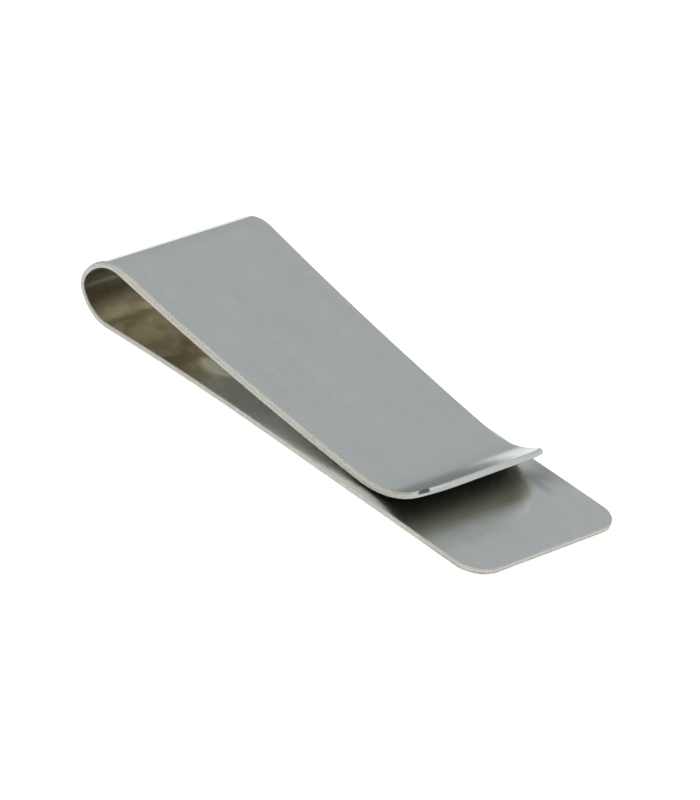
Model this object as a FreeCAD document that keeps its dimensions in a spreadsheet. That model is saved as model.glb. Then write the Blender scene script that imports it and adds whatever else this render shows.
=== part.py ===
import FreeCAD, Part
import math
import os

import Sketcher

# Money clip: one strip of spring steel, bent back on itself.
# X runs from the spring bend to the open end, Y across the strip, Z up.
# The origin is the middle of the footprint, on the surface the clip rests on.
# Lengths are in millimetres, angles in degrees.

DIMENSIONS = [
    ("strip_width", "20.0"),
    ("sheet_thickness", "0.6"),
    ("edge_rounding", "0.2"),
    # base leaf: rises a little from the fold, then runs straight down to its front edge
    ("base_curve_length", "20.9"),
    ("base_slope", "2.8"),
    ("base_flat_length", "30.2"),
    ("base_fall", "0.72"),
    ("base_front_width", "19.8"),
    ("base_corner_radius", "2.9"),
    # spring bend: three tangent arcs, measured on the middle of the sheet
    ("shoulder_radius", "4.5"),
    ("shoulder_angle", "58.6"),
    ("nose_radius", "1.8"),
    ("crown_radius", "4.3"),
    ("crown_angle", "76.0"),
    # top leaf: slopes down, a little less steeply towards its end
    ("leaf_length", "33.5"),
    ("leaf_slope_start", "11.0"),
    ("leaf_slope_end", "6.4"),
    # thumb lip: curls up and ends in a short flat
    ("lip_radius", "10.1"),
    ("lip_angle", "42.5"),
    ("lip_flat_length", "2.0"),
    ("lip_width", "17.0"),
    ("lip_corner_radius", "3.4"),
    # how far a cutting outline reaches past the metal
    ("cut_margin", "1.0"),
]

# Centres and ends of the arcs, from the closed end of the base leaf onwards.
# Polar angles are taken about each arc's centre, in the X-Z plane.
DERIVED = [
    ("fold_height", "=sheet_thickness / 2 + shoulder_radius * (1 - cos(base_slope))"),
    ("base_radius", "=base_curve_length * 180 / ((base_slope + base_fall) * pi)"),
    ("base_arc_start", "=90 - base_fall"),
    ("base_arc_end", "=90 + base_slope"),
    ("base_flat_rise", "=-base_fall"),
    ("curve_reach", "=base_radius * (sin(base_slope) + sin(base_fall))"),
    ("base_reach", "=curve_reach + base_flat_length * cos(base_fall)"),
    ("shoulder_low", "=base_slope - 90"),
    ("shoulder_high", "=shoulder_low - shoulder_angle"),
    ("shoulder_turn", "=shoulder_high + 360"),
    ("crown_high", "=90 - leaf_slope_start"),
    ("crown_low", "=crown_high + crown_angle"),
    ("shoulder_reach", "=-shoulder_radius * sin(base_slope)"),
    ("nose_reach", "=shoulder_reach + (shoulder_radius - nose_radius) * cos(shoulder_high)"),
    ("overall_length", "=base_reach - nose_reach + nose_radius + sheet_thickness / 2"),
    ("front_x", "=overall_length / 2"),
    ("fold_x", "=front_x - base_reach"),
    ("base_x", "=fold_x + base_radius * sin(base_slope)"),
    ("base_z", "=fold_height - base_radius * cos(base_slope)"),
    ("base_flat_x", "=fold_x + curve_reach"),
    ("base_flat_z", "=base_z + base_radius * cos(base_fall)"),
    ("shoulder_x", "=fold_x + shoulder_reach"),
    ("shoulder_z", "=fold_height + shoulder_radius * cos(base_slope)"),
    ("nose_x", "=fold_x + nose_reach"),
    ("nose_z", "=shoulder_z + (shoulder_radius - nose_radius) * sin(shoulder_high)"),
    ("crown_x", "=nose_x + (nose_radius - crown_radius) * cos(crown_low)"),
    ("crown_z", "=nose_z + (nose_radius - crown_radius) * sin(crown_low)"),
    ("leaf_start_x", "=crown_x + crown_radius * sin(leaf_slope_start)"),
    ("leaf_start_z", "=crown_z + crown_radius * cos(leaf_slope_start)"),
    ("leaf_radius", "=leaf_length * 180 / ((leaf_slope_start - leaf_slope_end) * pi)"),
    ("leaf_x", "=leaf_start_x + leaf_radius * sin(leaf_slope_start)"),
    ("leaf_z", "=leaf_start_z + leaf_radius * cos(leaf_slope_start)"),
    ("leaf_arc_start", "=-90 - leaf_slope_start"),
    ("leaf_arc_end", "=-90 - leaf_slope_end"),
    ("leaf_end_x", "=leaf_x - leaf_radius * sin(leaf_slope_end)"),
    ("leaf_end_z", "=leaf_z - leaf_radius * cos(leaf_slope_end)"),
    ("lip_x", "=leaf_end_x + lip_radius * sin(leaf_slope_end)"),
    ("lip_z", "=leaf_end_z + lip_radius * cos(leaf_slope_end)"),
    ("lip_arc_end", "=leaf_arc_end + lip_angle"),
    ("lip_flat_rise", "=lip_angle - leaf_slope_end"),
    ("lip_flat_x", "=lip_x + lip_radius * cos(lip_arc_end)"),
    ("lip_flat_z", "=lip_z + lip_radius * sin(lip_arc_end)"),
    ("tip_x", "=lip_flat_x + lip_flat_length * cos(lip_flat_rise)"),
    ("base_taper_x", "=fold_x - sheet_thickness / 2 * sin(base_slope)"),
    ("base_taper", "=(strip_width - base_front_width) / (2 * (front_x - base_taper_x))"),
    ("leaf_taper_x", "=leaf_start_x - sheet_thickness / 2 * sin(leaf_slope_start)"),
    ("leaf_taper", "=(strip_width - lip_width) / (2 * (tip_x - leaf_taper_x))"),
]

doc = FreeCAD.newDocument("money_clip")
sheet = doc.addObject("Spreadsheet::Sheet", "Dimensions")


def fill_sheet():
    row = 1
    for alias, content in DIMENSIONS + DERIVED:
        cell = "B" + str(row)
        sheet.set("A" + str(row), alias)
        sheet.set(cell, content)
        sheet.setAlias(cell, alias)
        row += 1
    doc.recompute()


def val(alias):
    return float(getattr(sheet, alias))


def new_body(label):
    body = doc.addObject("PartDesign::Body", label)
    body.Label = label
    body.Placement = FreeCAD.Placement()
    return body


def new_sketch(body, name, role):
    sketch = body.newObject("Sketcher::SketchObject", name)
    plane = [f for f in body.Origin.OriginFeatures if f.Role == role][0]
    sketch.AttachmentSupport = [(plane, "")]
    sketch.MapMode = "FlatFace"
    return sketch


def drive(sketch, constraint, formula):
    """Add a dimension to the sketch and tie it to the spreadsheet."""
    index = sketch.addConstraint(constraint)
    sketch.setExpression("Constraints[" + str(index) + "]", formula)


def place_point(sketch, geometry, point, x_formula, y_formula, x, y):
    drive(sketch, Sketcher.Constraint("DistanceX", -1, 1, geometry, point, x), x_formula)
    drive(sketch, Sketcher.Constraint("DistanceY", -1, 1, geometry, point, y), y_formula)


def pad_across(body, name, sketch):
    """Stretch a side profile over the whole width of the strip."""
    pad = body.newObject("PartDesign::Pad", name)
    pad.Profile = sketch
    pad.SideType = "Symmetric"
    pad.Length = val("strip_width")
    pad.setExpression("Length", "Dimensions.strip_width")
    body.Tip = pad
    doc.recompute()
    return pad


def add_arc(body, name, centre, radius, start, end):
    """A bent stretch of the strip; it runs anticlockwise from start to end."""
    sketch = new_sketch(body, name + "_profile", "XZ_Plane")
    x, z = val(centre + "_x"), val(centre + "_z")
    a, b = math.radians(val(start)), math.radians(val(end))
    half = val("sheet_thickness") / 2
    middle = FreeCAD.Vector(x, z, 0)
    corners = []
    for offset in (-half, half):
        circle = Part.Circle(middle, FreeCAD.Vector(0, 0, 1), val(radius) + offset)
        sketch.addGeometry(Part.ArcOfCircle(circle, a, b), False)
        corners.append((circle.value(a), circle.value(b)))
    for side in (0, 1):
        sketch.addGeometry(Part.LineSegment(corners[0][side], corners[1][side]), False)
    sketch.addConstraint(Sketcher.Constraint("Coincident", 0, 3, 1, 3))
    for line, arc_point in ((2, 1), (3, 2)):
        sketch.addConstraint(Sketcher.Constraint("Coincident", line, 1, 0, arc_point))
        sketch.addConstraint(Sketcher.Constraint("Coincident", line, 2, 1, arc_point))
        sketch.addConstraint(Sketcher.Constraint("PointOnObject", 0, 3, line))
    place_point(sketch, 0, 3, "Dimensions." + centre + "_x", "Dimensions." + centre + "_z", x, z)
    formula = "Dimensions." + radius + " {} Dimensions.sheet_thickness / 2"
    drive(sketch, Sketcher.Constraint("Radius", 0, val(radius) - half), formula.format("-"))
    drive(sketch, Sketcher.Constraint("Radius", 1, val(radius) + half), formula.format("+"))
    drive(sketch, Sketcher.Constraint("Angle", 2, a), "Dimensions." + start + " * 1 deg")
    drive(sketch, Sketcher.Constraint("Angle", 3, b), "Dimensions." + end + " * 1 deg")
    return pad_across(body, name, sketch)


def add_flat(body, name, start):
    """A straight stretch of the strip, from the middle of the sheet at its start."""
    sketch = new_sketch(body, name + "_profile", "XZ_Plane")
    rise = math.radians(val(start + "_rise"))
    length = val(start + "_length")
    half = val("sheet_thickness") / 2
    along = FreeCAD.Vector(math.cos(rise), math.sin(rise), 0)
    across = FreeCAD.Vector(-math.sin(rise), math.cos(rise), 0)
    middle = FreeCAD.Vector(val(start + "_x"), val(start + "_z"), 0)
    low = middle - across * half
    high = middle + across * half
    points = [low, low + along * length, high + along * length, high]
    for i in range(4):
        sketch.addGeometry(Part.LineSegment(points[i], points[(i + 1) % 4]), False)
    for i in range(4):
        sketch.addConstraint(Sketcher.Constraint("Coincident", i, 2, (i + 1) % 4, 1))
    for i in range(3):
        sketch.addConstraint(Sketcher.Constraint("Perpendicular", i, i + 1))
    cell = "Dimensions." + start
    drive(sketch, Sketcher.Constraint("Angle", 0, rise), cell + "_rise * 1 deg")
    drive(sketch, Sketcher.Constraint("Distance", 0, length), cell + "_length")
    drive(sketch, Sketcher.Constraint("Distance", 1, 2 * half), "Dimensions.sheet_thickness")
    step = " Dimensions.sheet_thickness / 2 * "
    place_point(sketch, 0, 1, cell + "_x +" + step + "sin(" + cell + "_rise)",
                cell + "_z -" + step + "cos(" + cell + "_rise)", low.x, low.y)
    return pad_across(body, name, sketch)


def cut_taper(body, name, start, taper, end):
    """Trim both long edges so that the strip narrows steadily from start to end."""
    sketch = new_sketch(body, name + "_outline", "XY_Plane")
    margin = val("cut_margin")
    x0 = val(start) - margin
    x1 = val(end) + margin
    edge = val("strip_width") / 2
    wide = edge + val(taper) * margin
    narrow = wide - val(taper) * (x1 - x0)
    outside = edge + 2 * margin
    x_start = "Dimensions." + start + " - Dimensions.cut_margin"
    x_end = "Dimensions." + end + " + Dimensions.cut_margin"
    y_line = "Dimensions.strip_width / 2 + Dimensions." + taper
    y_wide = y_line + " * Dimensions.cut_margin"
    y_narrow = y_line + " * (Dimensions." + start + " - " + x_end + ")"
    y_outside = "Dimensions.strip_width / 2 + 2 * Dimensions.cut_margin"
    corners = [(x0, wide, x_start, y_wide), (x1, narrow, x_end, y_narrow),
               (x1, outside, x_end, y_outside), (x0, outside, x_start, y_outside)]
    for side in (1, -1):
        first = sketch.GeometryCount
        for i in range(4):
            p = corners[i]
            q = corners[(i + 1) % 4]
            sketch.addGeometry(Part.LineSegment(FreeCAD.Vector(p[0], side * p[1], 0),
                                                FreeCAD.Vector(q[0], side * q[1], 0)), False)
        for i in range(4):
            follower = first + (i + 1) % 4
            sketch.addConstraint(Sketcher.Constraint("Coincident", first + i, 2, follower, 1))
        for i in range(4):
            p = corners[i]
            y_formula = p[3] if side > 0 else "-(" + p[3] + ")"
            place_point(sketch, first + i, 1, p[2], y_formula, p[0], side * p[1])
    cut = body.newObject("PartDesign::Pocket", name)
    cut.Profile = sketch
    cut.SideType = "Symmetric"
    cut.Type = "ThroughAll"
    body.Tip = cut
    doc.recompute()
    return cut


def round_edges(body, name, base, edges, alias):
    fillet = body.newObject("PartDesign::Fillet", name)
    fillet.Base = (base, edges)
    fillet.Radius = val(alias)
    fillet.setExpression("Radius", "Dimensions." + alias)
    body.Tip = fillet
    doc.recompute()
    return fillet


def end_corner_edges(shape):
    """The two short edges at the free end: straight, one sheet thickness long."""
    thickness = val("sheet_thickness")
    short = []
    for number, edge in enumerate(shape.Edges, 1):
        if abs(edge.Length - thickness) < 0.05 * thickness:
            short.append((edge.CenterOfMass.x, "Edge" + str(number)))
    reach = max(x for x, edge_name in short)
    return [edge_name for x, edge_name in short if x > reach - 0.1]


def is_broad(face):
    """True for the sheet's own two faces, false for its edges and ends."""
    u0, u1, v0, v1 = face.ParameterRange
    normal = face.normalAt((u0 + u1) / 2, (v0 + v1) / 2)
    end_area = val("sheet_thickness") * val("strip_width")
    return abs(normal.y) < 0.1 and face.Area > 1.2 * end_area


def is_join(face, joins):
    """True for the flat end of a sub-part where it meets its neighbour."""
    middle = face.CenterOfMass
    return any(math.hypot(middle.x - x, middle.z - z) < 0.05 for x, z in joins)


def rim_edges(shape, joins):
    """Edges round the sheet's two faces, without those at the joins."""
    names = []
    for number, edge in enumerate(shape.Edges, 1):
        faces = [f for f in shape.Faces if any(edge.isSame(e) for e in f.Edges)]
        broad = [f for f in faces if is_broad(f)]
        if len(broad) == 1 and not any(is_join(f, joins) for f in faces):
            names.append("Edge" + str(number))
    return names


def joint_at(place):
    """Middle of the sheet where two sub-parts meet."""
    return val(place + "_x"), val(place + ("_height" if place == "fold" else "_z"))


def build_base_leaf():
    body = new_body("base_leaf")
    add_arc(body, "base_curve", "base", "base_radius", "base_arc_start", "base_arc_end")
    add_flat(body, "base_straight", "base_flat")
    cut = cut_taper(body, "base_taper_cut", "base_taper_x", "base_taper", "front_x")
    corners = round_edges(body, "base_corners", cut, end_corner_edges(cut.Shape),
                          "base_corner_radius")
    rim = rim_edges(corners.Shape, [joint_at("fold")])
    round_edges(body, "base_rim", corners, rim, "edge_rounding")
    return body


def build_spring_bend():
    body = new_body("spring_bend")
    add_arc(body, "bend_shoulder", "shoulder", "shoulder_radius", "shoulder_high", "shoulder_low")
    add_arc(body, "bend_nose", "nose", "nose_radius", "crown_low", "shoulder_turn")
    crown = add_arc(body, "bend_crown", "crown", "crown_radius", "crown_high", "crown_low")
    rim = rim_edges(crown.Shape, [joint_at("fold"), joint_at("leaf_start")])
    round_edges(body, "bend_rim", crown, rim, "edge_rounding")
    return body


def build_top_leaf():
    body = new_body("top_leaf")
    add_arc(body, "leaf_sweep", "leaf", "leaf_radius", "leaf_arc_start", "leaf_arc_end")
    cut = cut_taper(body, "leaf_taper_cut", "leaf_taper_x", "leaf_taper", "tip_x")
    rim = rim_edges(cut.Shape, [joint_at("leaf_start"), joint_at("leaf_end")])
    round_edges(body, "leaf_rim", cut, rim, "edge_rounding")
    return body


def build_thumb_lip():
    body = new_body("thumb_lip")
    add_arc(body, "lip_curl", "lip", "lip_radius", "leaf_arc_end", "lip_arc_end")
    add_flat(body, "lip_straight", "lip_flat")
    cut = cut_taper(body, "lip_taper_cut", "leaf_taper_x", "leaf_taper", "tip_x")
    corners = round_edges(body, "lip_corners", cut, end_corner_edges(cut.Shape),
                          "lip_corner_radius")
    rim = rim_edges(corners.Shape, [joint_at("leaf_end")])
    round_edges(body, "lip_rim", corners, rim, "edge_rounding")
    return body


def check(bodies):
    for item in doc.Objects:
        if "Invalid" in item.State or "Error" in item.State:
            raise RuntimeError("failed feature: " + item.Name)
    for sketch in [o for o in doc.Objects if o.TypeId == "Sketcher::SketchObject"]:
        if sketch.solve() != 0 or not sketch.FullyConstrained:
            raise RuntimeError("loose sketch: " + sketch.Name)
    for body in bodies:
        if body.Shape.isNull() or not body.Shape.isValid() or len(body.Shape.Solids) != 1:
            raise RuntimeError("bad shape: " + body.Label)


fill_sheet()
parts = [build_base_leaf(), build_spring_bend(), build_top_leaf(), build_thumb_lip()]
doc.recompute()
check(parts)
os.makedirs("parts", exist_ok=True)
for part in parts:
    part.Shape.exportStep("parts/" + part.Label + ".step")
    box = part.Shape.BoundBox
    print(part.Label, round(part.Shape.Volume, 3), box)
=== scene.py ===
import math
from types import SimpleNamespace

import bmesh
import bpy
import numpy as np
from mathutils import Matrix, Vector


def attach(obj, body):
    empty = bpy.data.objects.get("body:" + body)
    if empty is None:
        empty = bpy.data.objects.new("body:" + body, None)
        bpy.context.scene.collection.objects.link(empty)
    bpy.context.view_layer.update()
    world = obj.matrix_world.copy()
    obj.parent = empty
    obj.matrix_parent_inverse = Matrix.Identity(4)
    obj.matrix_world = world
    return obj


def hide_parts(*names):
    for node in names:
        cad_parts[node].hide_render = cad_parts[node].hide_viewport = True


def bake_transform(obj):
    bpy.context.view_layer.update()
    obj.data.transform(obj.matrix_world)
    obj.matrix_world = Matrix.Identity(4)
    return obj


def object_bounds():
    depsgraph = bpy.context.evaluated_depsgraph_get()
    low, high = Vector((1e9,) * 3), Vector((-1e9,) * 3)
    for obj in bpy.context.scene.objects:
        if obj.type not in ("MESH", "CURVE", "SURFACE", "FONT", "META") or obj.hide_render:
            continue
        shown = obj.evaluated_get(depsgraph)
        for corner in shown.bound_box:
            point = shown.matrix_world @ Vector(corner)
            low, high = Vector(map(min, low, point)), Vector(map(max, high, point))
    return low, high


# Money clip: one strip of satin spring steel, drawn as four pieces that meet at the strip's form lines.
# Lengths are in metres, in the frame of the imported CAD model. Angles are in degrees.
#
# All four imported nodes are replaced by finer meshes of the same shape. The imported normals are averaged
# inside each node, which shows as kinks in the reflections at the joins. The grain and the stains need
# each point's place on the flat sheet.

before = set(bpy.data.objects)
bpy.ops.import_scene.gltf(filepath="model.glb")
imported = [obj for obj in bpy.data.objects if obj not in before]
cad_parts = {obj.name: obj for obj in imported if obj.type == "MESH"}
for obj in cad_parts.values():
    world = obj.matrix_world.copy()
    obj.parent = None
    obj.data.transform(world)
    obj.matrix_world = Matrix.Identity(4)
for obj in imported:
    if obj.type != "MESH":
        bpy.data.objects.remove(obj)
rest_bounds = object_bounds()

MM = 0.001

# The strip's own dimensions, as in the CAD
STRIP_WIDTH = 20.0 * MM
BASE_FRONT_WIDTH = 19.8 * MM
LIP_WIDTH = 17.0 * MM
THICKNESS = 0.6 * MM
BASE_CORNER_RADIUS = 2.9 * MM
LIP_CORNER_RADIUS = 3.4 * MM
BASE_CURVE_LENGTH = 20.9 * MM
BASE_FLAT_LENGTH = 30.2 * MM
BASE_FALL = 0.72
BASE_SLOPE = 2.8
SHOULDER_RADIUS = 4.5 * MM
SHOULDER_TURN = 58.6
NOSE_RADIUS = 1.8 * MM
CROWN_RADIUS = 4.3 * MM
CROWN_TURN = 76.0
LEAF_LENGTH = 33.5 * MM
LEAF_SLOPE_START = 11.0
LEAF_SLOPE_END = 6.4
LIP_RADIUS = 10.1 * MM
LIP_TURN = 42.5
LIP_FLAT_LENGTH = 2.0 * MM
NOSE_TURN = 180.0 + BASE_SLOPE + LEAF_SLOPE_START - SHOULDER_TURN - CROWN_TURN

# How the punched rim is rounded: how far in from the edge it starts, and how deep it goes.
# The die rolls the outer side over; the inner side keeps a crisper edge.
OUTER_RIM_INSET = 0.40 * MM
OUTER_RIM_DEPTH = 0.24 * MM
INNER_RIM_INSET = 0.14 * MM
INNER_RIM_DEPTH = 0.10 * MM

# Mesh density
ROW_LENGTH = 0.6 * MM
ROW_TURN = 1.5
CORNER_STEPS = 12
CORNER_GAP = 0.1 * MM
RIM_STEPS = 5
COLUMN_COUNT = 12
EDGE_CROWDING = 1.8
TRACE_POINTS = 4000
SAME_PLACE = 1e-7


def arc(radius, turn):
    """(length, turn) of a bent run; the turn is positive when it goes anticlockwise seen from -Y."""
    return radius * math.radians(abs(turn)), turn


# The middle of the sheet, walked from the front edge of the base leaf, round the bend, to the tip of the lip
RUNS = {
    "base": [(BASE_FLAT_LENGTH, 0.0), (BASE_CURVE_LENGTH, BASE_SLOPE + BASE_FALL)],
    "bend": [arc(SHOULDER_RADIUS, -SHOULDER_TURN), arc(NOSE_RADIUS, -NOSE_TURN),
             arc(CROWN_RADIUS, -CROWN_TURN)],
    "leaf": [(LEAF_LENGTH, LEAF_SLOPE_START - LEAF_SLOPE_END)],
    "lip": [arc(LIP_RADIUS, LIP_TURN), (LIP_FLAT_LENGTH, 0.0)],
}


class Strip:
    """The middle line of the sheet as tangent arcs and straights, placed where the CAD model is."""

    def __init__(self, low):
        self.span = {}
        rows = []
        gone, x, z, heading = 0.0, 0.0, 0.0, math.radians(180.0 - BASE_FALL)
        for name, runs in RUNS.items():
            first = gone
            for length, turn in runs:
                bend = math.radians(turn)
                rows.append((gone, x, z, heading, length, bend))
                reach = length * np.sinc(bend / 2 / math.pi)
                x += reach * math.cos(heading + bend / 2)
                z += reach * math.sin(heading + bend / 2)
                heading += bend
                gone += length
            self.span[name] = (first, gone)
        self.length = gone
        self.table = np.array(rows).T
        self.shift = (0.0, 0.0)
        every = np.linspace(0.0, gone, TRACE_POINTS)
        outer_x, outer_z = self.place(every, THICKNESS / 2)
        self.shift = (low.x - outer_x.min(), low.z - outer_z.min())

    def heading(self, s):
        first, _, _, heading, length, bend = self.run_at(s)
        return heading + bend * (s - first) / length

    def run_at(self, s):
        index = np.clip(np.searchsorted(self.table[0], s, side="right") - 1, 0, self.table.shape[1] - 1)
        return self.table[:, index]

    def place(self, s, offset):
        """x and z of the point at distance s along the strip, that far out from the middle of the sheet."""
        first, x, z, heading, length, bend = self.run_at(s)
        part = bend * (s - first) / length
        reach = (s - first) * np.sinc(part / 2 / math.pi)
        out = heading + part + math.pi / 2
        place_x = x + reach * np.cos(heading + part / 2) + offset * np.cos(out)
        place_z = z + reach * np.sin(heading + part / 2) + offset * np.sin(out)
        return place_x + self.shift[0], place_z + self.shift[1]

    def joins(self, name):
        """Distances along the strip where a piece meets its neighbours."""
        start, end = self.span[name]
        return [s for s in (start, end) if 0.0 < s < self.length]


strip = Strip(rest_bounds[0])


def half_width(name, s):
    """Half the strip's width: both leaves narrow steadily towards their free ends."""
    x = strip.place(s, 0.0)[0]
    if name == "bend":
        return np.full_like(x, STRIP_WIDTH / 2)
    if name == "base":
        wide, narrow, width = strip.span["base"][1], strip.span["base"][0], BASE_FRONT_WIDTH
    else:
        wide, narrow, width = strip.span["leaf"][0], strip.span["lip"][1], LIP_WIDTH
    x_wide = strip.place(np.array([wide]), 0.0)[0]
    x_narrow = strip.place(np.array([narrow]), 0.0)[0]
    return STRIP_WIDTH / 2 + (x - x_wide) / (x_narrow - x_wide) * (width - STRIP_WIDTH) / 2


def row_distances(name):
    """Distances along the strip of a piece's rows, close together where it bends."""
    rows = [strip.span[name][0]]
    for length, turn in RUNS[name]:
        steps = max(math.ceil(length / ROW_LENGTH), math.ceil(abs(turn) / ROW_TURN))
        rows.extend(np.linspace(rows[-1], rows[-1] + length, steps + 1)[1:])
    return np.array(rows)


class Outline:
    """A piece's edge seen flat: two long sides, and a free end with round corners if it has one."""

    def __init__(self, name, corner_radius):
        self.name = name
        self.radius = corner_radius
        start, end = strip.span[name]
        joined, self.free = (end, start) if name == "base" else (start, end)
        self.sign = 1.0 if self.free > joined else -1.0
        rows = row_distances(name)
        if name == "base":
            rows = rows[::-1]
        if corner_radius:
            rows = rows[self.sign * (self.free - rows) > corner_radius + CORNER_GAP]
        self.rows = rows
        self.corner = np.radians(np.linspace(0.0, 90.0, CORNER_STEPS + 1)) if corner_radius else np.array([])

    def side(self, inset):
        """Distance and half width of each row's end point, that far in from the edge."""
        s = self.rows
        half = half_width(self.name, s) - inset
        if not self.radius:
            return s, half
        radius = self.radius - inset
        corner_s = self.free - self.sign * (self.radius - radius * np.sin(self.corner))
        corner_middle = half_width(self.name, corner_s) - self.radius
        corner_half = corner_middle + radius * np.cos(self.corner)
        return np.concatenate([s, corner_s]), np.concatenate([half, corner_half])

    def edge_distance(self, s, y):
        """How far in from the outline a point of the sheet is."""
        half = half_width(self.name, s)
        from_side = half - np.abs(y)
        if not self.radius:
            return from_side
        from_end = self.sign * (self.free - s)
        in_corner = (from_side < self.radius) & (from_end < self.radius)
        round_part = self.radius - np.hypot(self.radius - from_side, self.radius - from_end)
        return np.where(in_corner, round_part, np.minimum(from_side, from_end))


# ---------------------------------------------------------------- meshes

class SheetPoints:
    """A mesh's points as distance along the strip, place across it, and height out from its middle."""

    def __init__(self):
        self.points = []

    def add(self, s, y, offset):
        """Adds a row of points and gives their numbers."""
        first = len(self.points)
        self.points.extend(zip(s, y, np.full_like(s, offset)))
        return list(range(first, first + len(s)))


def column_shares():
    """Places across the sheet from one edge to the other, as -1 to 1, close together near the edges."""
    close = np.linspace(0.0, 1.0, COLUMN_COUNT + 1) ** EDGE_CROWDING
    return np.concatenate([-(1.0 - close), (1.0 - close)[::-1][1:]])


def face_grid(points, outline, inset, offset):
    """Rows of points that cover one side of the sheet, up to where the rim starts."""
    shares = column_shares()
    rows = zip(*outline.side(inset))
    return [points.add(np.full_like(shares, s), shares * half, offset) for s, half in rows]


def grid_faces(grid):
    faces = []
    for near, far in zip(grid, grid[1:]):
        for j in range(len(near) - 1):
            faces.append((near[j], near[j + 1], far[j + 1], far[j]))
    return faces


def grid_boundary(outline, grid):
    """The grid's points along its -Y side, across its free end if it has one, and back along its +Y side."""
    loop = [row[0] for row in grid]
    if outline.radius:
        loop += grid[-1][1:-1]
    return loop + [row[-1] for row in reversed(grid)]


def rounded_side(inset, depth):
    """(inset from the edge, height above the sheet's middle) of the rings that round off one side."""
    levels = []
    for step in range(1, RIM_STEPS + 1):
        angle = math.radians(90.0 * step / RIM_STEPS)
        levels.append((inset * (1 - math.sin(angle)), THICKNESS / 2 - depth * (1 - math.cos(angle))))
    return levels


def rim_ring(points, outline, inset, offset):
    """Points that run round the rim in the same order as a grid's boundary."""
    s, half = outline.side(inset)
    loop = points.add(s, -half, offset)
    if outline.radius:
        across = column_shares()[1:-1] * half[-1]
        loop += points.add(np.full_like(across, s[-1]), across, offset)
    return loop + points.add(s[::-1], half[::-1], offset)


def rim_rings(points, outline, outer_grid, inner_grid):
    """All rings of the rim, from the boundary of the outer side to the boundary of the inner side."""
    outer = rounded_side(OUTER_RIM_INSET, OUTER_RIM_DEPTH)
    inner = rounded_side(INNER_RIM_INSET, INNER_RIM_DEPTH)
    levels = outer + [(inset, -offset) for inset, offset in reversed(inner)]
    rings = [rim_ring(points, outline, inset, offset) for inset, offset in levels]
    return [grid_boundary(outline, outer_grid)] + rings + [grid_boundary(outline, inner_grid)]


def rim_faces(outline, rings):
    """Faces between the rings. A piece without a free end has none across its second join."""
    count = len(rings[0])
    skipped = None if outline.radius else count // 2 - 1
    faces = []
    for upper, lower in zip(rings, rings[1:]):
        for k in range(count - 1):
            if k != skipped:
                faces.append((upper[k], upper[k + 1], lower[k + 1], lower[k]))
    return faces


def join_face(outer_row, inner_row, rings, left, right):
    """Flat face across the sheet where two pieces meet."""
    left_side = [ring[left] for ring in rings[1:-1]]
    right_side = [ring[right] for ring in rings[1:-1]]
    return tuple(outer_row + right_side + inner_row[::-1] + left_side[::-1])


def write_mesh(outline, points, faces, join_faces):
    """The piece's mesh, with each point's place on the flat sheet and its distance from the edge."""
    s, y, offset = np.array(points.points).T
    x, z = strip.place(s, offset)
    mesh = bpy.data.meshes.new(outline.name)
    mesh.from_pydata(np.column_stack([x, y, z]).tolist(), [], faces + join_faces)
    bm = bmesh.new()
    bm.from_mesh(mesh)
    bmesh.ops.recalc_face_normals(bm, faces=bm.faces)
    bm.to_mesh(mesh)
    bm.free()
    sheet = mesh.attributes.new("sheet", "FLOAT_VECTOR", "POINT")
    sheet.data.foreach_set("vector", np.column_stack([s, y, offset]).astype(np.float32).ravel())
    edge = mesh.attributes.new("edge", "FLOAT", "POINT")
    edge.data.foreach_set("value", outline.edge_distance(s, y).astype(np.float32))
    smooth_mesh(mesh, outline.name, s, len(faces))
    return mesh


def smooth_mesh(mesh, name, s, join_start):
    """Exact smooth normals: where two pieces meet, both have the sheet's own normal, so no seam shows.

    Faces numbered from join_start on are the flat ones inside the joins, and stay flat.
    """
    mesh.polygons.foreach_set("use_smooth", np.ones(len(mesh.polygons), bool))
    total = np.zeros((len(mesh.vertices), 3))
    for polygon in mesh.polygons:
        if polygon.index < join_start:
            for vertex in polygon.vertices:
                total[vertex] += np.array(polygon.normal) * polygon.area
    heading = strip.heading(s)
    along = np.column_stack([np.cos(heading), np.zeros_like(heading), np.sin(heading)])
    for distance in strip.joins(name):
        at_join = np.abs(s - distance) < SAME_PLACE
        total[at_join] -= along[at_join] * np.sum(total[at_join] * along[at_join], axis=1)[:, None]
    total /= np.linalg.norm(total, axis=1)[:, None]
    normals = np.zeros((len(mesh.loops), 3))
    for polygon in mesh.polygons:
        for loop in polygon.loop_indices:
            vertex = mesh.loops[loop].vertex_index
            normals[loop] = total[vertex] if polygon.index < join_start else polygon.normal
    mesh.normals_split_custom_set(normals.tolist())


def build_piece(name, corner_radius):
    """Closed mesh of one stretch of the strip, with rounded rims and a flat face at each join."""
    outline = Outline(name, corner_radius)
    points = SheetPoints()
    outer_grid = face_grid(points, outline, OUTER_RIM_INSET, THICKNESS / 2)
    inner_grid = face_grid(points, outline, INNER_RIM_INSET, -THICKNESS / 2)
    rings = rim_rings(points, outline, outer_grid, inner_grid)
    faces = grid_faces(outer_grid) + grid_faces(inner_grid) + rim_faces(outline, rings)
    join_faces = [join_face(outer_grid[0], inner_grid[0], rings, 0, -1)]
    if not corner_radius:
        middle = len(rings[0]) // 2
        join_faces.append(join_face(outer_grid[-1], inner_grid[-1], rings, middle - 1, middle))
    piece = bpy.data.objects.new("strip_" + name, write_mesh(outline, points, faces, join_faces))
    bpy.context.scene.collection.objects.link(piece)
    return piece


# ---------------------------------------------------------------- materials

# How a spot on the metal fades out, in shares of its own half size
SPOT_EDGE = 1.2
SPOT_RAGGEDNESS = 1.8


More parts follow.
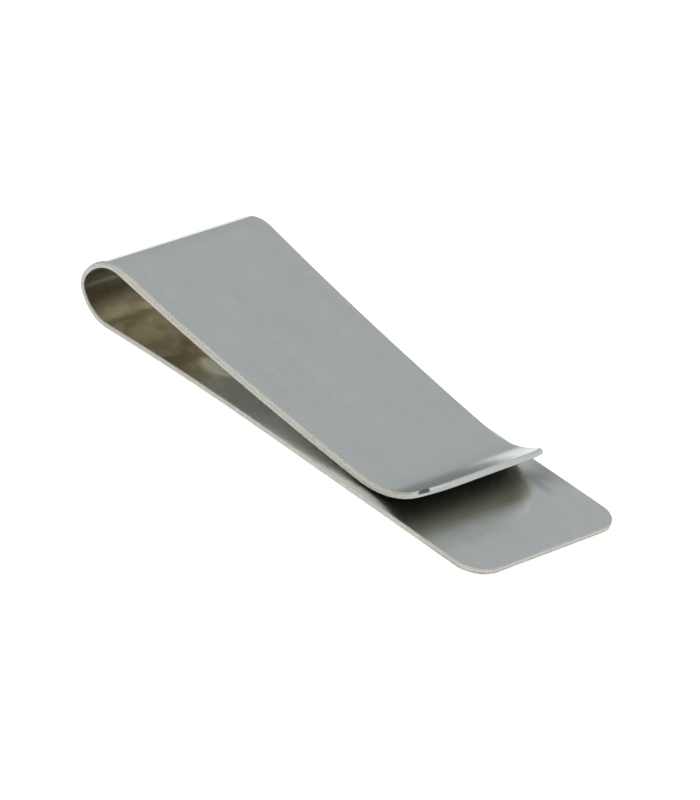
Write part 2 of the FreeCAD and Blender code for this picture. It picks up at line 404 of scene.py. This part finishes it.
class Shader:
    """Small helper that builds a material's node tree."""

    def __init__(self, name):
        self.material = bpy.data.materials.new(name)
        self.material.use_nodes = True
        self.nodes = self.material.node_tree.nodes
        self.links = self.material.node_tree.links
        self.nodes.clear()

    def add(self, kind, inputs=None, **settings):
        """A node with its settings, and its inputs either set to a value or linked to an output."""
        made = self.nodes.new("ShaderNode" + kind)
        for key, value in settings.items():
            setattr(made, key, value)
        for key, value in (inputs or {}).items():
            if isinstance(value, bpy.types.NodeSocket):
                self.links.new(value, made.inputs[key])
            else:
                made.inputs[key].default_value = value
        return made

    def finish(self, inputs):
        """The material, with one Principled surface."""
        surface = self.add("BsdfPrincipled", inputs)
        self.add("OutputMaterial", {0: surface.outputs[0]})
        return self.material

    def math(self, operation, first, second=0.0):
        return self.add("Math", {0: first, 1: second}, operation=operation).outputs[0]

    def times(self, first, *others):
        """The product of two or more values."""
        for other in others:
            first = self.math("MULTIPLY", first, other)
        return first

    def plus(self, first, *others):
        """The sum of two or more values."""
        for other in others:
            first = self.math("ADD", first, other)
        return first

    def minus(self, first, second):
        return self.math("SUBTRACT", first, second)

    def ramp(self, value, low, high, out_low=0.0, out_high=1.0, smooth=True):
        """out_low up to low and out_high from high on, with a smooth or straight rise between them."""
        kind = "SMOOTHSTEP" if smooth else "LINEAR"
        inputs = {"Value": value, "From Min": low, "From Max": high, "To Min": out_low, "To Max": out_high}
        return self.add("MapRange", inputs, interpolation_type=kind).outputs["Result"]

    def mix(self, share, first, second):
        """The first colour where the share is 0, the second where it is 1."""
        return self.add("Mix", {0: share, 6: first, 7: second}, data_type="RGBA").outputs[2]

    def spot(self, along, across, place, size, ragged, core=0.7):
        """1 inside an oval on the sheet, fading to 0 round it; the noise makes its edge ragged."""
        offsets = [self.times(self.minus(value, middle), 1.0 / half)
                   for value, middle, half in zip((along, across), place, size)]
        squares = [self.times(offset, offset) for offset in offsets]
        far = self.math("SQRT", self.plus(*squares))
        far = self.plus(far, self.times(self.minus(ragged, 0.5), SPOT_RAGGEDNESS))
        return self.ramp(far, SPOT_EDGE, core)

    def noise(self, place, scale, detail=2.0, roughness=0.5, distortion=0.0, turn=0.0, shift=0.0):
        """Noise with a feature count per metre of its own along, across and through the sheet."""
        moved = self.add("Mapping", {"Vector": place, "Scale": scale, "Location": (shift, shift, shift),
                                     "Rotation": (0.0, 0.0, math.radians(turn))})
        inputs = {"Vector": moved.outputs[0], "Scale": 1.0, "Detail": detail, "Roughness": roughness,
                  "Distortion": distortion}
        return self.add("TexNoise", inputs).outputs["Fac"]


def rgb(red, green, blue):
    return (red, green, blue, 1.0)


BEND_START = strip.span["bend"][0]
BEND_MIDDLE = sum(strip.span["bend"]) / 2
LIP_START = strip.span["lip"][0]
TIP = strip.length

# Zones along the strip: where each begins to show, and where it shows in full
UNDER_LEAF = (11.0 * MM, 20.0 * MM)
BEFORE_TIP = (LIP_START + 7.5 * MM, LIP_START + 6.0 * MM)
BASE_FRONT = (18.0 * MM, 12.0 * MM)
CLOSED_END_FROM_BASE = (BEND_START + 0.5 * MM, BEND_START + 4.0 * MM)
CLOSED_END_FROM_LEAF = (BEND_START + 7.0 * MM, BEND_START + 5.0 * MM)
MOUTH_FROM_LEAF = (LIP_START - 2.0 * MM, LIP_START + 0.5 * MM)
MOUTH_FROM_TIP = (LIP_START + 8.9 * MM, LIP_START + 7.3 * MM)
# Where the painted shade under the lip turns golden brown
UNDER_LIP_BROWN_ZONE = (LIP_START + 4.5 * MM, LIP_START + 7.5 * MM)
CURLED_UP = (LIP_START + 3.0 * MM, LIP_START + 6.0 * MM)
UNDER_TIP = (LIP_START + 7.4 * MM, LIP_START + 8.9 * MM)
FRONT_RIM = (3.0 * MM, 1.5 * MM)
TIP_RIM = (TIP - 3.0 * MM, TIP - 1.6 * MM)
LOWER_RIM = (50.0 * MM, 40.0 * MM)
CORNER_RIM = (8.0 * MM, 5.0 * MM)

# The same, as distance either way from the middle of the bend
DEEP_IN_FOLD = (20.5 * MM, 16.5 * MM)
TOWARDS_MOUTH = (23.0 * MM, 30.0 * MM)

# Zones across the strip, and through the sheet from its inner side (negative) to its outer side
FAR_HALF = (-2.0 * MM, 2.0 * MM)
INNER_SIDE = (0.25 * MM, -0.25 * MM)
OUTER_HALF = (0.0, 0.25 * MM)
OUTER_MOST = (-0.05 * MM, 0.15 * MM)
ABOVE_INNER_EDGE = (-0.12 * MM, 0.04 * MM)

# How wide the pale rim shows on the inner and on the outer side, and how softly it ends
RIM_HEIGHTS = (-0.2 * MM, 0.2 * MM)
RIM_REACHES = (0.13 * MM, 0.40 * MM)
RIM_FADE = (0.05 * MM, -0.05 * MM)

# Marks on the metal, and a spot of painted shade: distance along the strip and place across it, and their
# half sizes
BLOTCH_PLACE = (39.2 * MM, -6.3 * MM)
BLOTCH_SIZE = (2.5 * MM, 1.6 * MM)
NICK_PLACE = (TIP - 1.4 * MM, -7.9 * MM)
NICK_SIZE = (0.55 * MM, 0.6 * MM)
# Spot of painted shade on the base's front, below the far corner of the lip
BASE_SHADE_PLACE = (9.8 * MM, 7.8 * MM)
BASE_SHADE_SIZE = (3.2 * MM, 2.7 * MM)
BASE_SHADE_CORE = 0.1
SPECK_CELLS_PER_METRE = 170.0
SPECK_EDGE = (0.022, 0.010)

STEEL = rgb(0.58, 0.60, 0.60)
PALE_STEEL = rgb(0.64, 0.655, 0.65)
SMEARED_STEEL = rgb(0.54, 0.555, 0.56)
MOTTLED_STEEL = rgb(0.50, 0.515, 0.515)
# Painted shade on top of the lip's curl, darkening its reflection there
CURL_TOP_SHADE = rgb(0.49, 0.505, 0.50)
# Painted light on the underside of the lip's tip, which brightens its reflection in the base
UNDER_TIP_PAINTED_LIGHT = rgb(0.90, 0.915, 0.895)
BLUE_CLEAN = rgb(0.68, 0.71, 0.735)
BLUE_DIRTY = rgb(0.575, 0.59, 0.60)
OLIVE_CLEAN = rgb(0.81, 0.77, 0.63)
OLIVE_DIRTY = rgb(0.51, 0.46, 0.32)
STAIN_FLECKS = rgb(0.36, 0.335, 0.26)
# Painted light inside the fold towards the mouth
MOUTH_PAINTED_LIGHT = rgb(0.90, 0.895, 0.83)
# Painted shade deep in the fold at its closed end
CLOSED_END_SHADE = rgb(0.10, 0.09, 0.065)
PALE_BLOTCH = rgb(0.97, 0.95, 0.84)
# Painted shade on the lip's underside: dark, with browner flecks, and golden brown towards the tip
UNDER_LIP_SHADE = rgb(0.05, 0.042, 0.03)
UNDER_LIP_SHADE_FLECKS = rgb(0.14, 0.115, 0.065)
UNDER_LIP_BROWN_SHADE = rgb(0.36, 0.32, 0.22)
# Painted shade on the base's front, below the far corner of the lip
BASE_SHADE_GREY = rgb(0.15, 0.15, 0.13)
NEAR_RIM = (rgb(0.365, 0.357, 0.32), rgb(0.55, 0.54, 0.495))
FAR_RIM = (rgb(0.43, 0.43, 0.41), rgb(0.56, 0.56, 0.54))
FRONT_RIM_STEEL = (rgb(0.41, 0.41, 0.375), rgb(0.55, 0.545, 0.51))
TIP_RIM_STEEL = (rgb(0.50, 0.515, 0.50), rgb(0.58, 0.595, 0.58))
# Painted shade along the base's lower rim
LOWER_RIM_SHADE = rgb(0.33, 0.315, 0.27)
# Painted shade, mottled, on the lower rim at the base's front
FRONT_LOWER_RIM_SHADE = rgb(0.10, 0.08, 0.045)
# Painted dark reflection at a nick in the rim at the lip's near corner
NICK_DARK_REFLECTION = rgb(0.05, 0.045, 0.04)
SPECK_DARK = rgb(0.16, 0.15, 0.13)

# At grazing angles real satin steel stays greyer than an ideal mirror
GRAZING_TINT = rgb(0.78, 0.79, 0.78)
BUMP_STRENGTH = 0.09
BUMP_DEPTH = 0.02 * MM


def sheet_places(tree):
    """Where each point lies on the flat sheet, and which side or rim of it that is."""
    sheet = SimpleNamespace()
    sheet.place = tree.add("Attribute", attribute_name="sheet").outputs["Vector"]
    edge = tree.add("Attribute", attribute_name="edge").outputs["Fac"]
    sheet.along, sheet.across, sheet.depth = tree.add("SeparateXYZ", {0: sheet.place}).outputs
    sheet.inner = tree.ramp(sheet.depth, *INNER_SIDE)
    rim_reach = tree.ramp(sheet.depth, *RIM_HEIGHTS, *RIM_REACHES, smooth=False)
    sheet.rim = tree.ramp(tree.minus(edge, rim_reach), *RIM_FADE)
    sheet.from_fold = tree.math("ABSOLUTE", tree.minus(sheet.along, BEND_MIDDLE))
    return sheet


def add_noises(tree, sheet):
    """The noises that the grain and the marks are drawn from."""
    place = sheet.place
    sheet.cloud = tree.noise(place, (260.0, 340.0, 300.0), detail=4.0, roughness=0.6)
    sheet.smear = tree.noise(place, (90.0, 420.0, 300.0), detail=3.0, turn=12.0, shift=3.0)
    sheet.grain = tree.noise(place, (700.0, 11000.0, 11000.0), detail=3.0, roughness=0.6)
    sheet.fine = tree.noise(place, (9000.0, 9000.0, 9000.0), detail=2.0, shift=7.0)
    sheet.mottle = tree.noise(place, (1500.0, 2200.0, 1500.0), detail=3.0, roughness=0.7, shift=5.0)
    sheet.patches = tree.noise(place, (300.0, 220.0, 500.0), detail=3.0, roughness=0.55,
                               distortion=0.6, shift=11.0)


def add_marks(tree, sheet):
    """How strongly each kind of mark, and each patch of painted light and shade, shows at each point, from 0
    to 1.
    """
    along, across, inner = sheet.along, sheet.across, sheet.inner
    sheet.stained = tree.times(inner, tree.ramp(along, *UNDER_LEAF), tree.ramp(along, *BEFORE_TIP))
    # Where light is painted inside the fold towards the mouth
    sheet.hazy = tree.ramp(sheet.from_fold, *TOWARDS_MOUTH)
    sheet.blotch = tree.times(tree.spot(along, across, BLOTCH_PLACE, BLOTCH_SIZE, sheet.smear), inner)
    # Spot of painted shade on the base's front, below the lip's far corner
    handled = tree.spot(along, across, BASE_SHADE_PLACE, BASE_SHADE_SIZE, sheet.smear, BASE_SHADE_CORE)
    sheet.handled = tree.times(handled, inner)
    sheet.base_front = tree.times(inner, tree.ramp(along, *BASE_FRONT))
    sheet.curled = tree.ramp(along, *CURLED_UP)
    sheet.under_tip = tree.times(inner, tree.ramp(along, *UNDER_TIP))
    cell = tree.add("TexVoronoi", {"Vector": sheet.place, "Scale": SPECK_CELLS_PER_METRE}, feature="F1")
    off_rim = tree.minus(1.0, sheet.rim)
    sheet.speck = tree.times(tree.ramp(cell.outputs["Distance"], *SPECK_EDGE), off_rim)


def face_colour(tree, sheet):
    """Clean satin steel, faintly clouded, smeared and mottled."""
    face = tree.mix(sheet.cloud, STEEL, PALE_STEEL)
    face = tree.mix(tree.ramp(sheet.smear, 0.35, 0.75, 0.0, 0.35), face, SMEARED_STEEL)
    return tree.mix(tree.ramp(sheet.mottle, 0.35, 0.70, 0.0, 0.22), face, MOTTLED_STEEL)


def stained_fold(tree, sheet, face):
    """Inside the fold: painted shade at the closed end, then olive brown and bluish stains, and painted light
    towards the mouth.
    """
    deep = tree.ramp(sheet.from_fold, *DEEP_IN_FOLD)
    clean = tree.mix(deep, BLUE_CLEAN, OLIVE_CLEAN)
    dirty = tree.mix(deep, BLUE_DIRTY, OLIVE_DIRTY)
    stain = tree.mix(tree.ramp(sheet.patches, 0.38, 0.62), clean, dirty)
    stain = tree.mix(tree.ramp(sheet.mottle, 0.45, 0.75, 0.0, 0.40), stain, STAIN_FLECKS)
    # Painted light towards the mouth
    stain = tree.mix(tree.times(sheet.hazy, 0.85), stain, MOUTH_PAINTED_LIGHT)
    face = tree.mix(tree.times(sheet.stained, 0.9), face, stain)
    # Painted shade in the crease at the fold's closed end
    closed_end = tree.times(tree.ramp(sheet.along, *CLOSED_END_FROM_BASE),
                            tree.ramp(sheet.along, *CLOSED_END_FROM_LEAF))
    face = tree.mix(tree.times(closed_end, sheet.inner, 0.85), face, CLOSED_END_SHADE)
    return tree.mix(sheet.blotch, face, PALE_BLOTCH)


def shade_under_lip(tree, sheet, face):
    """Under the lip: painted shade on its underside, dark and turning golden brown towards the tip, which the
    base mirrors as the dark zone below the lip; the tip itself is left out.
    """
    mouth = tree.times(sheet.inner, tree.ramp(sheet.along, *MOUTH_FROM_LEAF),
                       tree.ramp(sheet.along, *MOUTH_FROM_TIP))
    lip_shade = tree.mix(tree.ramp(sheet.mottle, 0.40, 0.65), UNDER_LIP_SHADE, UNDER_LIP_SHADE_FLECKS)
    lip_shade = tree.mix(tree.ramp(sheet.along, *UNDER_LIP_BROWN_ZONE), lip_shade, UNDER_LIP_BROWN_SHADE)
    return tree.mix(tree.times(mouth, 0.92), face, lip_shade)


def paint_front_light_and_shade(tree, sheet, face):
    """The lip's curled tip, with painted shade on its top and painted light on its underside, and a spot of
    painted shade on the base's front.
    """
    # Painted shade on top of the curled tip of the lip
    shaded_curl_top = tree.times(sheet.curled, tree.minus(1.0, sheet.inner))
    face = tree.mix(tree.times(shaded_curl_top, 0.8), face, CURL_TOP_SHADE)
    # Painted light on the underside of the tip
    face = tree.mix(sheet.under_tip, face, UNDER_TIP_PAINTED_LIGHT)
    # Spot of painted shade on the base's front
    return tree.mix(tree.times(sheet.handled, 0.75), face, BASE_SHADE_GREY)


def rim_colour(tree, sheet):
    """Rims: pale beige, gritty, brighter on the two free ends, with painted shade along the base's lower edge
    and a painted dark reflection at a nick in the lip's near corner.
    """
    grit = tree.ramp(sheet.fine, 0.30, 0.70)
    colour = tree.mix(grit, *NEAR_RIM)
    colour = tree.mix(tree.ramp(sheet.across, *FAR_HALF), colour, tree.mix(grit, *FAR_RIM))
    colour = tree.mix(tree.ramp(sheet.along, *FRONT_RIM), colour, tree.mix(grit, *FRONT_RIM_STEEL))
    colour = tree.mix(tree.ramp(sheet.along, *TIP_RIM), colour, tree.mix(grit, *TIP_RIM_STEEL))
    # Painted shade along the base's lower rim
    lower = tree.times(tree.ramp(sheet.depth, *OUTER_HALF), tree.ramp(sheet.along, *LOWER_RIM))
    colour = tree.mix(lower, colour, LOWER_RIM_SHADE)
    # Painted shade, mottled, on the lower rim at the base's front
    corner = tree.times(tree.ramp(sheet.depth, *OUTER_MOST), tree.ramp(sheet.along, *CORNER_RIM),
                        tree.ramp(sheet.mottle, 0.35, 0.60))
    colour = tree.mix(tree.times(corner, 0.7), colour, FRONT_LOWER_RIM_SHADE)
    # Painted dark reflection at the nick at the lip's near corner
    nick = tree.spot(sheet.along, sheet.across, NICK_PLACE, NICK_SIZE, sheet.mottle)
    nick = tree.times(nick, tree.ramp(sheet.depth, *ABOVE_INNER_EDGE))
    return tree.mix(tree.times(nick, 0.9), colour, NICK_DARK_REFLECTION)


def steel_roughness(tree, sheet):
    """Satin faces, duller where the sheet is stained, where shade is painted on the base's front, or curled,
    and matt rims.
    """
    rough = tree.plus(tree.times(sheet.grain, 0.04), 0.08, tree.times(sheet.cloud, 0.05),
                      tree.times(sheet.stained, 0.24), tree.times(sheet.stained, sheet.hazy, 0.06),
                      tree.times(sheet.blotch, 0.50), tree.times(sheet.handled, 0.20),
                      tree.times(sheet.base_front, 0.10), tree.times(sheet.curled, 0.12),
                      tree.times(sheet.under_tip, 0.25))
    rough = tree.math("MAXIMUM", rough, tree.times(sheet.rim, 0.60))
    return tree.plus(rough, tree.times(sheet.speck, 0.3))


def steel_relief(tree, sheet):
    """A faint grain on the faces and a coarser grit on the rims."""
    height = tree.plus(tree.times(sheet.grain, 0.3), tree.times(sheet.cloud, 0.4),
                       tree.times(sheet.fine, sheet.rim, 1.6))
    bump = tree.add("Bump", {"Strength": BUMP_STRENGTH, "Distance": BUMP_DEPTH, "Height": height})
    return bump.outputs[0]


def satin_steel():
    """Rolled stainless sheet: satin faces with a fine grain along the strip, pale rims, stained inside, with
    light and shade painted in the fold, round the lip, on the base's front and along its lower rim.
    """
    tree = Shader("satin_spring_steel")
    sheet = sheet_places(tree)
    add_noises(tree, sheet)
    add_marks(tree, sheet)
    face = face_colour(tree, sheet)
    face = stained_fold(tree, sheet, face)
    # Painted shade on the underside of the lip
    face = shade_under_lip(tree, sheet, face)
    face = paint_front_light_and_shade(tree, sheet, face)
    colour = tree.mix(sheet.rim, face, rim_colour(tree, sheet))
    colour = tree.mix(tree.times(sheet.speck, 0.7), colour, SPECK_DARK)
    return tree.finish({"Base Color": colour, "Metallic": 1.0, "Roughness": steel_roughness(tree, sheet),
                        "Specular Tint": GRAZING_TINT, "Normal": steel_relief(tree, sheet)})


FLOOR_GLOW = 0.6
PAPER = (rgb(0.86, 0.86, 0.855), rgb(0.90, 0.90, 0.895))
PAPER_FIBRES_PER_METRE = 900.0
PAPER_ROUGHNESS = 0.9
PAPER_BUMP_STRENGTH = 0.05
PAPER_BUMP_DEPTH = 0.05 * MM


def pale_sweep():
    """Matt studio paper on a lit table, so that the clip throws almost no shadow, as in the photo."""
    tree = Shader("pale_studio_paper")
    place = tree.add("TexCoord").outputs["Object"]
    fibre = tree.noise(place, (PAPER_FIBRES_PER_METRE,) * 3, detail=3.0)
    bump = tree.add("Bump", {"Strength": PAPER_BUMP_STRENGTH, "Distance": PAPER_BUMP_DEPTH, "Height": fibre})
    return tree.finish({"Base Color": tree.mix(fibre, *PAPER), "Roughness": PAPER_ROUGHNESS,
                        "Normal": bump.outputs[0],
                        "Emission Color": rgb(1.0, 1.0, 1.0), "Emission Strength": FLOOR_GLOW})


# ---------------------------------------------------------------- pieces

steel = satin_steel()


def add_piece(name, corner_radius, node, body=None):
    """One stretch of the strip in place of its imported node. It rides on its body, if it has just one."""
    piece = build_piece(name, corner_radius)
    piece.data.materials.append(steel)
    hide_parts(node)
    if body:
        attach(piece, body)
    return piece


def side_heights(s):
    """Heights of the sheet's inner and outer side at that distance along the strip."""
    return strip.place(np.array([s, s]), np.array([-THICKNESS / 2, THICKNESS / 2]))[1]


add_piece("base", BASE_CORNER_RADIUS, "base_leaf", "base")
bend = add_piece("bend", 0.0, "spring_bend")
add_piece("leaf", 0.0, "top_leaf", "leaf")
add_piece("lip", LIP_CORNER_RADIUS, "thumb_lip", "leaf")

# Heights of the bend's inner and outer side at both its ends; the bend itself is baked in place, on no body.
bend_foot, bend_crown = [side_heights(s) for s in strip.span["bend"]]
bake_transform(bend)

# ---------------------------------------------------------------- stage, light and camera

FLOOR_RADIUS = 1.6
FLOOR_SIDES = 96

# The brighter wall: the direction of its middle, and how close to it (as a cosine) it begins and is full
WALL_DIRECTION = (0.62, 0.68, 0.39)
WALL_EDGE = 0.70
WALL_CORE = 0.93
SURROUNDINGS = rgb(0.60, 0.62, 0.62)
WALL_GLOW = rgb(1.05, 1.06, 1.04)

SOFTBOX_PLACE = (-0.25, -0.30, 1.1)
SOFTBOX_SIZE = 2.0
SOFTBOX_POWER = 12.0

CAMERA_AZIMUTH = 40.648
CAMERA_ELEVATION = 29.639
CAMERA_ROLL = 10.869
CAMERA_DISTANCE = 630.74 * MM
CAMERA_RIGHT = -0.148 * MM
CAMERA_UP = -1.461 * MM
CAMERA_LENS = 299.14
CAMERA_NEAR = 0.05
CAMERA_FAR = 10.0


def add_floor():
    mesh = bpy.data.meshes.new("floor")
    bm = bmesh.new()
    bmesh.ops.create_circle(bm, cap_ends=True, radius=FLOOR_RADIUS, segments=FLOOR_SIDES)
    bm.to_mesh(mesh)
    bm.free()
    floor = bpy.data.objects.new("floor", mesh)
    floor.location.z = rest_bounds[0].z
    mesh.materials.append(pale_sweep())
    bpy.context.scene.collection.objects.link(floor)


def add_softbox(name, place, size, power):
    """A square softbox at place, turned towards the clip."""
    light = bpy.data.lights.new(name, "AREA")
    light.shape = "SQUARE"
    light.size = size
    light.energy = power
    lamp = bpy.data.objects.new(name, light)
    lamp.location = place
    lamp.rotation_euler = (-Vector(place)).to_track_quat("-Z", "Y").to_euler()
    bpy.context.scene.collection.objects.link(lamp)


def add_world():
    """Studio surroundings: even cool grey, with a brighter wall on the camera's right."""
    world = bpy.data.worlds.new("studio")
    world.use_nodes = True
    tree = world.node_tree
    tree.nodes.clear()
    place = tree.nodes.new("ShaderNodeTexCoord")
    toward = tree.nodes.new("ShaderNodeVectorMath")
    ramp = tree.nodes.new("ShaderNodeValToRGB")
    light = tree.nodes.new("ShaderNodeBackground")
    out = tree.nodes.new("ShaderNodeOutputWorld")
    toward.operation = "DOT_PRODUCT"
    toward.inputs[1].default_value = WALL_DIRECTION
    tree.links.new(place.outputs["Generated"], toward.inputs[0])
    tree.links.new(toward.outputs["Value"], ramp.inputs[0])
    tree.links.new(ramp.outputs[0], light.inputs[0])
    tree.links.new(light.outputs[0], out.inputs[0])
    ramp.color_ramp.interpolation = "EASE"
    edge, core = ramp.color_ramp.elements
    edge.position = WALL_EDGE
    edge.color = SURROUNDINGS
    core.position = WALL_CORE
    core.color = WALL_GLOW
    bpy.context.scene.world = world


def add_camera():
    """The photo's viewpoint. The camera is rolled, and shifted sideways from a straight look at the clip."""
    azimuth = math.radians(CAMERA_AZIMUTH)
    elevation = math.radians(CAMERA_ELEVATION)
    back = Vector((math.sin(azimuth) * math.cos(elevation), -math.cos(azimuth) * math.cos(elevation),
                   math.sin(elevation)))
    level = Vector((math.cos(azimuth), math.sin(azimuth), 0.0))
    above = back.cross(level)
    roll = math.radians(CAMERA_ROLL)
    right = level * math.cos(roll) + above * math.sin(roll)
    up = above * math.cos(roll) - level * math.sin(roll)
    centre = (rest_bounds[0] + rest_bounds[1]) / 2
    place = centre + back * CAMERA_DISTANCE + right * CAMERA_RIGHT + up * CAMERA_UP
    camera_data = bpy.data.cameras.new("camera")
    camera_data.lens = CAMERA_LENS
    camera_data.clip_start = CAMERA_NEAR
    camera_data.clip_end = CAMERA_FAR
    camera = bpy.data.objects.new("camera", camera_data)
    camera.matrix_world = Matrix((right, up, back)).transposed().to_4x4()
    camera.location = place
    bpy.context.scene.collection.objects.link(camera)
    bpy.context.scene.camera = camera


add_floor()
add_world()
add_softbox("overhead", SOFTBOX_PLACE, SOFTBOX_SIZE, SOFTBOX_POWER)
add_camera()
bpy.context.scene.view_settings.view_transform = "Standard"
